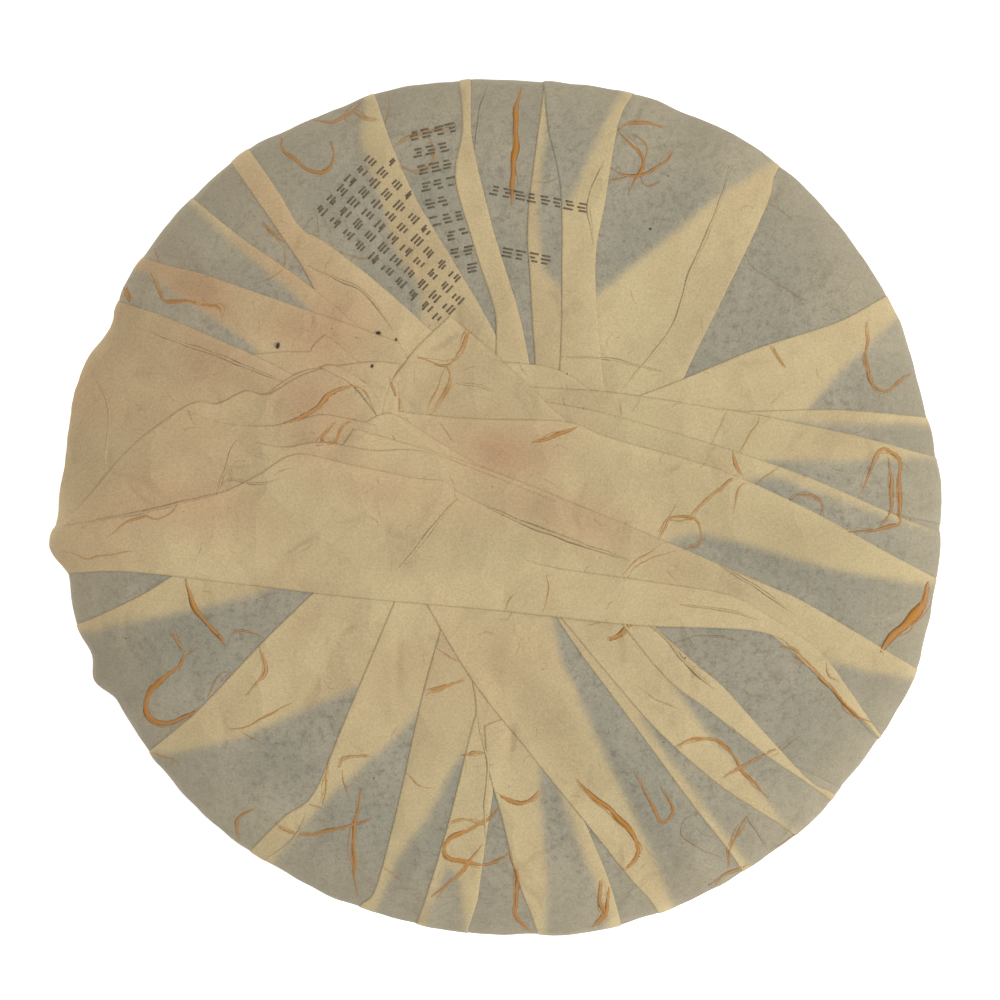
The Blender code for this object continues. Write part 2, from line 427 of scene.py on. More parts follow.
def blushField():
    field = np.zeros((gridN, gridN))
    for x, y, a, b, turn, amount in blushSpots:
        cx, cy = toFlat([(x, y)])[0]
        c = math.cos(math.radians(turn))
        s = math.sin(math.radians(turn))
        u = ((gridX - cx) * c + (gridY - cy) * s) / a
        v = (-(gridX - cx) * s + (gridY - cy) * c) / b
        field = np.maximum(field, amount * np.exp(-0.7 * (u * u + v * v)))
    return np.clip(field * (1 + 0.25 * softNoise(5.0)), 0, 1)


lumps = cake["lumpFine"][1] * softNoise(cake["lumpFine"][0]) + cake["lumpWide"][1] * softNoise(cake["lumpWide"][0])
gridTheta = np.arctan2(gridY, gridX)


def gathers(theta, run):
    # shallow radial folds, strongest where the paper turns over the rim, gone on the flat front
    wave = (np.sin(31 * theta + 1.3) + 0.8 * np.sin(47 * theta + 0.4) + 0.6 * np.sin(73 * theta + 2.0)) / 2.4
    band = smoothStep(rimRun - 10, rimRun + 5, run) * (1 - smoothStep(rimRun + 26, rimRun + 58, run))
    return cake["rimGathers"] * wave * band


lumps = lumps + gathers(gridTheta, gridRun)
blush = blushField()
height = lumps.copy()
layerMap = np.zeros((gridN, gridN))
topSheet = np.zeros((gridN, gridN), int)


underSheet = {
    "turns": 360,
    "backRings": 62,
    "rimRings": 30,      # closer together where the paper turns down
    "frontRings": 46,
    "pressed": 34,       # from this far past the rim the front is pressed nearly flat
    "pressedRelief": 0.3,
    "frontLayers": 0.35,
}


def makeWrapperSheet():
    turns = underSheet["turns"]
    stations = np.concatenate([np.linspace(1.2, rimRun - 12, underSheet["backRings"]),
                               np.linspace(rimRun - 11, rimRun + 16, underSheet["rimRings"]),
                               np.linspace(rimRun + 18, runS[-1] - 2, underSheet["frontRings"])])
    theta = np.arange(turns) * 2 * math.pi / turns
    flat = [np.array([[0.0, 0.0]])]
    for s in stations:
        flat.append(np.stack([s * np.cos(theta), s * np.sin(theta)], 1))
    flat = np.concatenate(flat)
    lift = sample(lumps, flat)
    run = np.hypot(flat[:, 0], flat[:, 1])
    beyondGrid = run > gridHalf - 3
    lift[beyondGrid] = gathers(np.arctan2(flat[beyondGrid, 1], flat[beyondGrid, 0]), run[beyondGrid])
    lift = np.where(run > rimRun + underSheet["pressed"], lift * underSheet["pressedRelief"], lift)
    spots = toSpace(flat, lift)
    spots[:, 2] = np.maximum(spots[:, 2], 0.0)
    last = np.array([[0.0, 0.0, 0.0]])
    verts = np.concatenate([spots, last])
    faces = [(0, 1 + i, 1 + (i + 1) % turns) for i in range(turns)]
    for k in range(len(stations) - 1):
        a = 1 + k * turns
        b = a + turns
        faces += [(a + i, b + i, b + (i + 1) % turns, a + (i + 1) % turns) for i in range(turns)]
    a = 1 + (len(stations) - 1) * turns
    end = len(verts) - 1
    faces += [(a + i, end, a + (i + 1) % turns) for i in range(turns)]
    front = np.append(smoothStep(rimRun + 14, rimRun + 60, run), 1.0)
    values = {
        "layers": underSheet["frontLayers"] * front,
        "blush": np.append(0.15 * sample(blush, flat) * (run < rimRun + 20), 0.0),
        "toneAndHighlight": np.full(len(verts), 0.5),
    }
    return addPiece("wrapper_under_sheet", verts, faces, paperMat, values)


sheets = [makeWrapperSheet()]
print("under sheet made")

# folded sheets, from the lowest to the topmost
# fold: the line of a sharp fold, from the rim to the middle; hidden: corners that lie under later sheets;
# single: corners of the part where only one layer lies over the tea; rim() sends a corner over the rim;
# loose: how far the sheet stands off; melt: place and size of the parts of a fold that fade away
foldedSheets = {
    "print_sheet": {
        "fold": [(-33, 103), (-30, 95.3), (-25.4, 82), (-19.8, 69.6), (-12.1, 56.7), (-3.9, 42.8),
                 (2, 31)],
        "hidden": [(-8, 28), (-18, 32), (-32, 46), (-44, 57), (-50, 65),
                   (-56.5, 75), rim(-62, 79), rim(-50, 86)],
        "single": [(-32, 108), (-31.6, 92.7), (-33, 84), (-28, 70), (-25, 59), (-18.8, 49), (-18, 30),
                   (-70, 60),
                   (-80, 95)],
    },
    "split_fold": {
        "fold": [(-67, 86), (-61.9, 77.8), (-52.7, 64.4), (-46.5, 55.2), (-42, 47)],
        "hidden": [(-36, 38), (-22, 32), (-12, 34)],
        "fold2": [(-16.2, 39.7), (-29, 51), (-40.3, 59.8), (-46.5, 63.6), (-51.1, 71.1), (-57.8, 80.9),
                  (-64, 90)],
    },
    "shoulder_fold": {
        "fold": [(-80, 78), (-70.2, 69.6), (-60.4, 61.6), (-45, 50.8), (-32.6, 40.5), (-24, 34)],
        "hidden": [(-45, 38), (-62, 44), (-80, 51), rim(-86, 54)],
        "single": [(-76, 74), (-66.6, 64.4), (-59.9, 58.5), (-52.7, 53.1), (-42.9, 43.9), (-40, 30),
                   (-110, 50)],
    },
    "upper_left_fold": {
        "fold": [(-94, 61), (-79, 55.6), (-68.6, 52.9), (-50.1, 46.4), (-32.6, 40.5), (-24, 37.4)],
        "hidden": [(-20, 30), (-46, 22), (-62, 28), (-88, 38), rim(-93, 38)],
        "single": [(-100, 60), (-81, 53.4), (-76.6, 49.8), (-66, 43.3), (-56, 35.6), (-50, 20),
                   (-115, 30)],
    },
    "narrow_fold": {
        "fold": [(-11.6, 106), (-10.2, 97), (-9.5, 86), (-11.1, 74.7), (-6.9, 59.3), (-2.3, 44.9),
                 (-1.8, 38.2)],
        "hidden": [(-2, 28), (5, 26)],
        "fold2": [(5.9, 32), (3.4, 43.9), (-2.3, 62.4), (-6.9, 81.4), (-7.6, 90), (-7.6, 97),
                  (-8.4, 106)],
    },
    "top_middle_fold": {
        "fold": [(10, 108), (9.3, 96.8), (7, 79.8), (5.3, 64.4), (5.9, 51.6), (7, 32.5)],
        "hidden": [(7.5, 26), (18, 26), (18, 60), (18, 84), rim(22, 95)],
        "single": [(11.5, 110), (10.3, 90), (8.5, 78), (7.4, 66), (9, 54), (15, 47), (40, 60), (40, 110)],
    },
    "top_right_fold": {
        "fold": [(71, 87), (62.7, 77), (60.2, 69), (50.9, 49.5), (43.7, 35.1), (41.1, 29.5), (38, 22)],
        "hidden": [(22, 21), (17, 30), (17.5, 60), (18, 82), rim(22, 96), rim(45, 87)],
        "single": [(66, 88), (61.2, 78.3), (49.9, 71.6), (40.1, 63.4), (25.2, 51.6), (17, 44), (0, 60),
                   (10, 115),
                   (50, 110)],
    },
    "tall_fold": {
        "fold": [(9, 107), (9.2, 95), (10, 86.5), (12.9, 71.6), (13.1, 49), (12.9, 37), (12.5, 29)],
        "hidden": [(14, 25), (24, 21)],
        "fold2": [(22.6, 28.4), (20.8, 54.1), (23.1, 69.6), (26.2, 87.6), (29.6, 94.5), (34, 104)],
        "single": [(30, 106), (27.5, 95.5), (23.4, 88.6), (15.7, 71.1), (11, 64), (0, 64), (0, 110)],
    },
    "right_upper_fold": {
        "fold": [(99, 54), (87.7, 48.2), (75.6, 41.8), (58.1, 36.1), (41.4, 29.2), (30.6, 25.1),
                 (22, 22)],
        "hidden": [(22, 18), (40, 14), (80, 13), rim(98, 12), rim(96, 32)],
        "single": [(108, 56), (89.5, 42.8), (76.1, 30), (69.9, 22.8), (66, 12), (120, 8)],
    },
    "gathered_fold": {
        "fold": [(-4, 33), (3, 32.6), (9.5, 31.8), (14.5, 30), (19.8, 26.6), (26, 24)],
        "hidden": [(20, 20), (4, 20), (-6, 26)],
    },
    "right_long_fold": {
        "fold": [(112, 20), (97, 20.4), (76.1, 22), (53, 21.7), (37.5, 24.1), (22.9, 26.1), (14, 26.7),
                 (2, 27.4)],
        "hidden": [(2, 20), (40, 12), (80, 4), rim(99, 4)],
        "single": [(118, 18.6), (84, 18.8), (70, 18.9), (58, 19.6), (50, 20.4), (50, 5), (118, 2)],
    },
    "right_short_fold": {
        "fold": [(112, 8), (98.7, 11.3), (78.7, 16.4), (60.2, 20.3), (50, 22.2)],
        "hidden": [(40, 20), (40, 12), (70, 2), rim(100, -6)],
        "single": [(116, 11), (98, 11), (80, 10.4), (60.2, 10.4), (50, 8), (44, 0), (118, -12)],
        "melt": [(42, 17, 7)],
    },
    "right_middle_fold": {
        "fold": [(112, -9.5), (99, -5.5), (86.4, -0.8), (68.4, 6.9), (46.8, 14.3), (22.1, 21.3),
                 (6, 24.4)],
        "hidden": [(0, 18), (36, 4), (80, -9), rim(99, -19)],
        "single": [(112, -9), (90, -3.4), (68.4, 4.1), (61.2, 6.9), (54, 5.4), (46, 0), (60, -14),
                   (118, -26)],
    },
    "corner_sheet": {
        "fold": [(-27, 27), (-23.1, 32), (-20.3, 35.6), (-16.2, 39.7), (-12.3, 43.3)],
        "fold2": [(-12.3, 43.3), (-6.9, 38.7), (0.3, 32.5), (6.4, 26.6), (14, 19.5), (18, 15)],
        "hidden": [(8, 12), (-10, 14), (-34, 16)],
    },
    "right_lower_fold": {
        "fold": [(111, -22), (98.7, -16.3), (86.4, -10.1), (68.4, -0.3), (47.8, 8.7), (24, 15.6),
                 (14, 19.2),
                 (-4.9, 19.9), (-17.7, 20.8), (-30, 22.6)],
        "hidden": [(-40, 10), (0, -4), (44, -14), (84, -34), rim(92, -40)],
        "single": [(114, -18), (94.1, -17.8), (74.6, -14.4), (58.1, -9.6), (44.7, -6), (37, -8),
                   (38, -14),
                   (100, -44)],
    },
    "left_low_fold": {
        "fold": [(-108, -30.5), (-95.9, -26.4), (-83, -20.4), (-75.8, -16), (-66, -10)],
        "hidden": [(-34, -10), (-38, -23), (-60, -44), (-80, -60), rim(-82, -58), rim(-93, -40)],
        "single": [(-112, -32), (-96.9, -29.1), (-82.5, -26), (-66.6, -22.7), (-55.2, -19.6),
                   (-44, -14), (-30, -40),
                   (-84, -84)],
    },
    "left_wide_fold": {
        "fold": [(-92, -66), (-81.7, -56.6), (-69.6, -46.3), (-55.2, -31.2), (-43.4, -19.6), (-36, -12)],
        "hidden": [(-20, -12), (-24, -28), (-34, -48), (-46, -72), rim(-56, -80), rim(-71, -69)],
        "single": [(-94, -58), (-75.8, -56.6), (-60.9, -53), (-48.6, -47.9), (-32.6, -40.7),
                   (-22, -34), (-30, -100),
                   (-90, -95)],
    },
    "left_bottom_fold": {
        "fold": [(-66, -90), (-58, -79), (-50.1, -70.8), (-43.4, -65.4), (-35.7, -47.4),
                 (-25.2, -22.4), (-21, -13)],
        "hidden": [(-8, -14), (-12, -34), (-17, -56), (-27, -86), rim(-31, -93), rim(-46, -86)],
        "single": [(-58, -96), (-52, -80), (-41.4, -67.9), (-32.6, -59.7), (-24, -52), (-16, -43),
                   (-6, -50),
                   (-20, -115)],
    },
    "bottom_left_fold": {
        "fold": [(-38, -106), (-33.4, -92.4), (-29.6, -88), (-24.9, -71), (-18.8, -43.8),
                 (-15.4, -31.4), (-12, -20)],
        "hidden": [(-2, -18), (-4, -40), (-8, -66), (-14, -90), rim(-16, -96)],
        "single": [(-36, -112), (-29.5, -93), (-24, -80), (-17, -70), (-12, -60), (-7, -54), (0, -60),
                   (0, -112)],
    },
    "bottom_fold": {
        "fold": [(-25, -108), (-20, -95.7), (-13.1, -73.6), (-7.5, -51), (-6.4, -46), (-8, -36),
                 (-10, -26)],
        "hidden": [(2, -22), (1, -44), (-2, -62), (-4.1, -76), (-6, -90), (-8.2, -97), (-9, -108)],
        "single": [(-22, -112), (-17, -92), (-13, -82), (-10.5, -84), (-9, -96), (-8, -112)],
    },
    "bottom_mid_fold": {
        "fold": [(-4.5, -50), (-3.6, -59.7), (-0.8, -70), (2.8, -84.4), (6.9, -95.7), (10.5, -108)],
        "hidden": [rim(18, -97), (30, -106)],
        "fold2": [(27, -96.2), (23.9, -85.4), (18.5, -72), (14, -60), (6, -46)],
        "single": [(9.4, -110), (9.8, -86), (8.4, -68), (8.2, -58), (10.5, -58), (16.7, -76),
                   (23.5, -92), (25, -112)],
    },
    "bottom_wide_fold": {
        "fold": [(40, -104), (34.7, -92.1), (28.6, -84.9), (17.7, -71), (4.9, -55.1), (-6.9, -40.2),
                 (-17.6, -22.4),
                 (-22, -13)],
        "hidden": [(10, -14), (18, -30), (36, -54), (56, -76), rim(57, -79), rim(48, -86)],
        "single": [(43, -110), (38.8, -92.1), (34.2, -80.3), (24.9, -60.7), (19.3, -48.4), (12.6, -34),
                   (11, -24),
                   (50, -30), (90, -90)],
    },
    "right_bottom_fold": {
        "fold": [(60, -92), (51.7, -79.3), (42.8, -67.9), (29.4, -49.6), (17.7, -34), (11.6, -25),
                 (6, -17)],
        "hidden": [(24, -18), (30, -34), (50, -56), (70, -72), rim(70, -72), rim(61, -80)],
        "single": [(62, -90), (53.5, -79), (45.3, -67.9), (36.5, -55.5), (31, -48), (36, -44), (90, -80)],
    },
    "right_slim_fold": {
        "fold": [(75, -85), (66.3, -75.1), (49.9, -64.3), (35.4, -51.6), (23.9, -38.6), (12.6, -25),
                 (7, -18)],
        "hidden": [(26, -20), (42, -40), (60, -56), (78, -65), rim(79, -64), rim(73, -70)],
        "single": [(76, -82), (63.3, -72), (55, -60.7), (45.3, -50.4), (38, -40.2), (34, -32),
                   (60, -40), (95, -60)],
    },
    "right_thin_fold": {
        "fold": [(84, -77), (74.1, -66.9), (60.2, -57.1), (46.3, -46.3), (38, -40.2), (30, -31),
                 (22, -20)],
        "hidden": [(30, -20)],
        "fold2": [(35, -28), (43.7, -36), (49.9, -41.2), (59.7, -52), (69.9, -62.8), (75.6, -65.9),
                  (86, -75)],
    },
    "small_corner": {
        "fold": [(-58, 34.4), (-50.6, 35.1), (-44, 35.2), (-43.7, 36.2), (-40.8, 39)],
        "fold2": [(-40.8, 39), (-37.8, 36.7), (-32.6, 32.5), (-24, 28)],
        "hidden": [(-24, 20), (-44, 20), (-60, 28)],
    },
    "left_cover": {
        "fold": [(-101, 52), (-87, 46.5), (-77.4, 43.3), (-56.8, 34.3), (-48, 29.9), (-38, 24)],
        "hidden": [(-40, 10), (-66, 0), (-92, -8), rim(-101, -11), rim(-102, 12), rim(-96, 32)],
        "loose": 0.35,
    },
    "left_inner_sheet": {
        "fold": [(-56, 24), (-47, 30.2), (-39.6, 31.7), (-30, 32.9), (-23.5, 32.3)],
        "fold2": [(-23.5, 32.3), (-26.2, 27), (-27.6, 21.4)],
        "hidden": [(-30, 14), (-54, 14)],
    },
    "inner_cover": {
        "fold": [(-114, -10), (-99.5, -2.4), (-85.1, 13.1), (-76.9, 19.7), (-70.4, 23.6), (-65, 23.3),
                 (-58.9, 26.2),
                 (-53.7, 25.4), (-46, 29.8), (-39, 31.4), (-34.8, 27.7), (-28.4, 20.2)],
        "hidden": [(-34, 17), (-30, 0), (-50, -8), (-92, -12), rim(-101, -13)],
        "loose": 0.3,
    },
    "pointed_strip": {
        "fold": [(-42, 31.6), (-38.4, 32), (-31, 27.4), (-27.6, 21.6), (-28.2, 19.4)],
        "fold2": [(-28.2, 19.4), (-31, 23.2), (-34.8, 27.7), (-42, 31.6)],
        "hidden": [],
    },
    "slip_fold": {
        "fold": [(-35, 17.2), (-28, 20.8), (-23.9, 20.5), (-15.2, 14.9), (-6, 9.6), (4, 5)],
        "hidden": [(4, -2), (-30, 8)],
    },
    "second_cover": {
        "fold": [(-72, 21.8), (-63.5, 18.9), (-53.7, 18.2), (-46, 19.8), (-40.8, 20.8), (-34, 19.6),
                 (-29, 18.4)],
        "hidden": [(-30, 4), (-50, -4), (-66, 2), (-68, 12)],
        "loose": 0.15,
        "melt": [(-68, 8, 8)],
    },
    "right_big_fold": {
        "fold": [(104, -43), (93.6, -36.8), (69.9, -22.7), (60.2, -18.1), (31.4, -5.7), (-1.8, 7.7),
                 (-22.4, 14.3),
                 (-34.2, 17.6)],
        "hidden": [(-38, 12), (-34, 2), (-20, -16), (40, -25), (58, -27), (70, -37), (84, -52),
                   rim(84, -53), rim(91, -46)],
        "single": [(106, -43), (93.1, -39.4), (83.8, -37.9), (73.5, -35.3), (66, -34), (70, -60),
                   (110, -60)],
    },
    "middle_cover": {
        "fold": [(-66, 1.5), (-64, 8), (-60.5, 15.9)],
        "fold2": [(-60.5, 15.9), (-55.2, 14.3), (-50, 13.4), (-44, 14.4), (-38, 14.2), (-30, 12.7),
                  (-22, 12.9),
                  (-15, 11.6), (-1.8, 6.6), (14, 0.2), (24, -4)],
        "hidden": [(20, -10), (0, -8), (-40, -6)],
        "loose": 0.2,
        "melt": [(22, -4, 8), (-65, 6, 8)],
    },
    "cross_flap": {
        "fold": [(-114, -16.5), (-99, -15.4), (-85.6, -15), (-59.9, -17.8), (-33.6, -20.9), (0.3, -24),
                 (30, -27.1),
                 (50, -27.5)],
        "hidden": [(62, -27), (40, -19), (24, -12)],
        "fold2": [(15.2, -7), (0.3, -1.9), (-10.5, 3.3), (-14, 5.8), (-19.8, 6.3), (-35.2, 9.5),
                  (-47.3, 11.8),
                  (-56, 7), (-65.3, 2.8), (-80.5, -0.6), (-91.8, -3.1), (-114, -7)],
        "loose": 0.18,
        "melt": [(24, -10, 7), (34, -14, 7)],
    },
    "flap_strip": {
        "fold": [(-8, -23.3), (0.3, -24), (30, -27.1), (58.9, -28.8), (68.4, -35.8), (79.7, -47),
                 (84, -51),
                 (92, -60)],
        "fold2": [(95, -60), (86.4, -52.5), (79.7, -43.2), (71.5, -32.7), (60.2, -25), (50.9, -20.1),
                  (32.4, -17),
                  (10, -13.7), (0, -10.5), (-8, -12)],
        "hidden": [],
        "loose": 0.12,
        "melt": [(-9, -18, 8), (-2, -10, 5)],
    },
}
sheetPaper = {
    "spacing": 1.3,      # between points of a sheet's mesh
    "thickness": 0.11,   # folded paper, as it stands
    "edgeThickness": 0.03,
    "lip": 0.40,         # width of the rounded fold
    "edgeHighlight": 0.35,   # painted highlight: paper is made paler just inside a fold, where the rounded fold catches light
    "edgeHighlightReach": 1.4,
    "edgeShade": 0.07,    # painted shade: a fold is a little darker along its very edge
    "gap": 0.02,
    "drape": 1.0,        # how widely paper bridges what is under it
    "fade": 0.6,         # how softly the layers of a fold end
    "loose": 0.10,       # how far a sheet stands off, unless it says so itself
    "curl": 0.05,        # folds stand up a little at their edge
    "ridge": 0.8,        # wrinkles along a fold
    "tuckFrom": 3.0,     # past the rim the folds sink into the sheet below
    "tuckTo": 12.0,
    "tuckDepth": 0.35,
    "meltDepth": 0.75,
    "toneSpread": 0.20,  # sheets differ a little in tone
    "toneNoise": 0.22,
}


def sheetOutline(data):
    line = []
    for key in data:
        if key.startswith("fold"):
            line += curveThrough(data[key], 1.2)
        if key == "hidden":
            line += data[key]
    tidy = [line[0]]
    for p in line[1:]:
        if math.dist(p, tidy[-1]) > 0.25:
            tidy.append(p)
    if math.dist(tidy[0], tidy[-1]) < 0.25:
        tidy.pop()
    return tidy


def flatLoop(corners, step):
    closed = walk([*corners, corners[0]], 1.2)
    flat = toFlat(closed)
    return np.array(walk([tuple(p) for p in flat], step)[:-1])


def ridged(noise, width):
    return (1 - np.clip(np.abs(noise) / width, 0, 1)) ** 1.5


def creamField(data, inside):
    # 1 where a fold has all its layers, 0 where a single one lies over the tea
    if "single" not in data:
        return np.ones((gridN, gridN))
    bare = insideMask(flatLoop(data["single"], 2.0), gridX, gridY) & inside
    whole = np.maximum(soften(inside.astype(float), sheetPaper["fade"]), 0.02)
    return np.clip(1 - soften(bare.astype(float), sheetPaper["fade"]) / whole, 0, 1)


def meltField(data):
    # 1 where a fold fades away into the sheet under it
    melted = np.zeros((gridN, gridN))
    for x, y, size in data.get("melt", []):
        cx, cy = toFlat([(x, y)])[0]
        fade = np.exp(-((gridX - cx) ** 2 + (gridY - cy) ** 2) / size ** 2)
        melted = np.maximum(melted, np.clip(fade * 1.3, 0, 1))
    return melted


def drapeField(data, inside, way, melted):
    # the height at which a sheet lies: over what is there, never through it
    rest = soften(height, sheetPaper["drape"])
    rest = np.maximum(rest, height + sheetPaper["gap"])
    ridges = ridged(streaks(way, 16.0, 3.2), 0.30)
    ridges = ridges + 0.7 * ridged(softNoise(6.0), 0.14)
    puff = data.get("loose", sheetPaper["loose"]) * (softNoise(7.0) * 0.6 + 0.9 + sheetPaper["ridge"] * ridges)
    deep = np.clip(soften(inside.astype(float), 2.2) * 2 - 1, 0, 1)
    rest = rest + np.clip(puff, 0, None) * np.minimum(deep * 1.6, 1)
    rest = rest + sheetPaper["curl"] * (1 - deep) ** 2
    rest = np.maximum(soften(rest, 0.5), height + sheetPaper["gap"])
    keep = 1 - smoothStep(rimRun + sheetPaper["tuckFrom"], rimRun + sheetPaper["tuckTo"], gridRun)
    rest = lumps + (rest - lumps) * keep - sheetPaper["tuckDepth"] * (1 - keep)
    return rest - sheetPaper["meltDepth"] * melted


def meshOver(loop):
    # triangles inside an outline: its points, a ring just inside it for the rounded fold, and a lattice
    ring = []
    n = len(loop)
    for i in range(n):
        ahead = loop[(i + 1) % n] - loop[i - 1]
        ahead = ahead / max(np.hypot(*ahead), 1e-6)
        aside = sheetPaper["lip"] * np.array([-ahead[1], ahead[0]])
        ring += [loop[i] + aside, loop[i] - aside]
    ring = np.array(ring)
    ring = ring[insideMask(loop, ring[:, 0], ring[:, 1])]
    ring = ring[distanceTo(loop, ring) > 0.85 * sheetPaper["lip"]]
    low = loop.min(0)
    high = loop.max(0)
    step = sheetPaper["spacing"]
    xs, ys = np.meshgrid(np.arange(low[0], high[0], step), np.arange(low[1], high[1], step * 0.866))
    xs = xs + (np.arange(xs.shape[0]) % 2)[:, None] * step / 2
    lattice = np.stack([xs.ravel(), ys.ravel()], 1)
    lattice = lattice[insideMask(loop, lattice[:, 0], lattice[:, 1])]
    lattice = lattice[distanceTo(loop, lattice) > sheetPaper["lip"] + 0.45 * step]
    points = np.concatenate([loop, ring, lattice])
    made = geometry.delaunay_2d_cdt([tuple(p) for p in points], [], [list(range(n))], 1, 1e-5)
    flat = np.array([tuple(p) for p in made[0]])
    tris = [tuple(t) for t in made[2]]
    first = flat[[t[0] for t in tris]]
    turn = np.cross(flat[[t[1] for t in tris]] - first, flat[[t[2] for t in tris]] - first)
    return flat, [t if k > 0 else (t[0], t[2], t[1]) for t, k in zip(tris, turn)]


def closedFaces(tris, count):
    # top, bottom and the narrow wall round them
    faces = tris + [(t[0] + count, t[2] + count, t[1] + count) for t in tris]
    edges = {}
    for t in tris:
        for e in ((t[0], t[1]), (t[1], t[2]), (t[2], t[0])):
            edges[e] = True
    for a, b in edges:
        if (b, a) not in edges:
            faces.append((b, a, a + count, b + count))
    return faces


def laySheet(name, data, number):
    global height, layerMap, topSheet
    loop = flatLoop(sheetOutline(data), sheetPaper["spacing"])
    inside = insideMask(loop, gridX, gridY)
    cream = creamField(data, inside)
    melted = meltField(data)
    start, end = data["fold"][0], data["fold"][-1]
    way = math.atan2(end[1] - start[1], end[0] - start[0])
    rest = drapeField(data, inside, way, melted)
    flat, tris = meshOver(loop)
    count = len(flat)
    fromEdge = distanceTo(loop, flat)
    away = np.minimum(fromEdge / sheetPaper["lip"], 1)
    rounded = np.sqrt(np.clip(1 - (1 - away) ** 2, 0, 1))
    base = sample(rest, flat)
    thin = sheetPaper["edgeThickness"]
    top = toSpace(flat, base + thin + (sheetPaper["thickness"] - thin) * rounded)
    bottom = toSpace(flat, base)
    creamHere = sample(cream, flat)
    blushHere = sample(blush, flat)
    past = smoothStep(rimRun + 2, rimRun + 11, np.hypot(flat[:, 0], flat[:, 1]))
    sheetTone = rng.uniform(-sheetPaper["toneSpread"], sheetPaper["toneSpread"])
    toneField = sheetPaper["toneNoise"] * sample(streaks(way, 14.0, 3.0), flat)
    # painted highlight in a band just inside the fold edge
    paintedHighlight = sheetPaper["edgeHighlight"] * np.exp(-fromEdge / sheetPaper["edgeHighlightReach"])
    # painted shade: a thin darker line along the fold edge, gone where the fold melts away
    edge = sheetPaper["edgeShade"] * (1 - away) * (1 - sample(melted, flat))
    values = {
        "layers": np.tile(creamHere * (1 - past), 2),
        "blush": np.tile(blushHere * (0.15 + 0.85 * creamHere) * (1 - past), 2),
        # the tone holds the random tone of each sheet and along its folds, and the painted highlight at its edges
        "toneAndHighlight": np.tile(0.5 + sheetTone + toneField + paintedHighlight, 2),
        "creaseShade": np.tile(edge * (1 - past), 2),
    }
    piece = addPiece(name, np.concatenate([top, bottom]), closedFaces(tris, count), paperMat, values)
    height = np.where(inside, np.maximum(height, rest + sheetPaper["thickness"]), height)
    layerMap = np.where(inside, cream, layerMap)
    topSheet = np.where(inside, number, topSheet)
    return piece


for number, (name, data) in enumerate(foldedSheets.items(), 1):
    sheets.append(laySheet(name, data, number))
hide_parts("wrapped_tea_cake")
print("folded sheets made:", len(sheets) - 1)
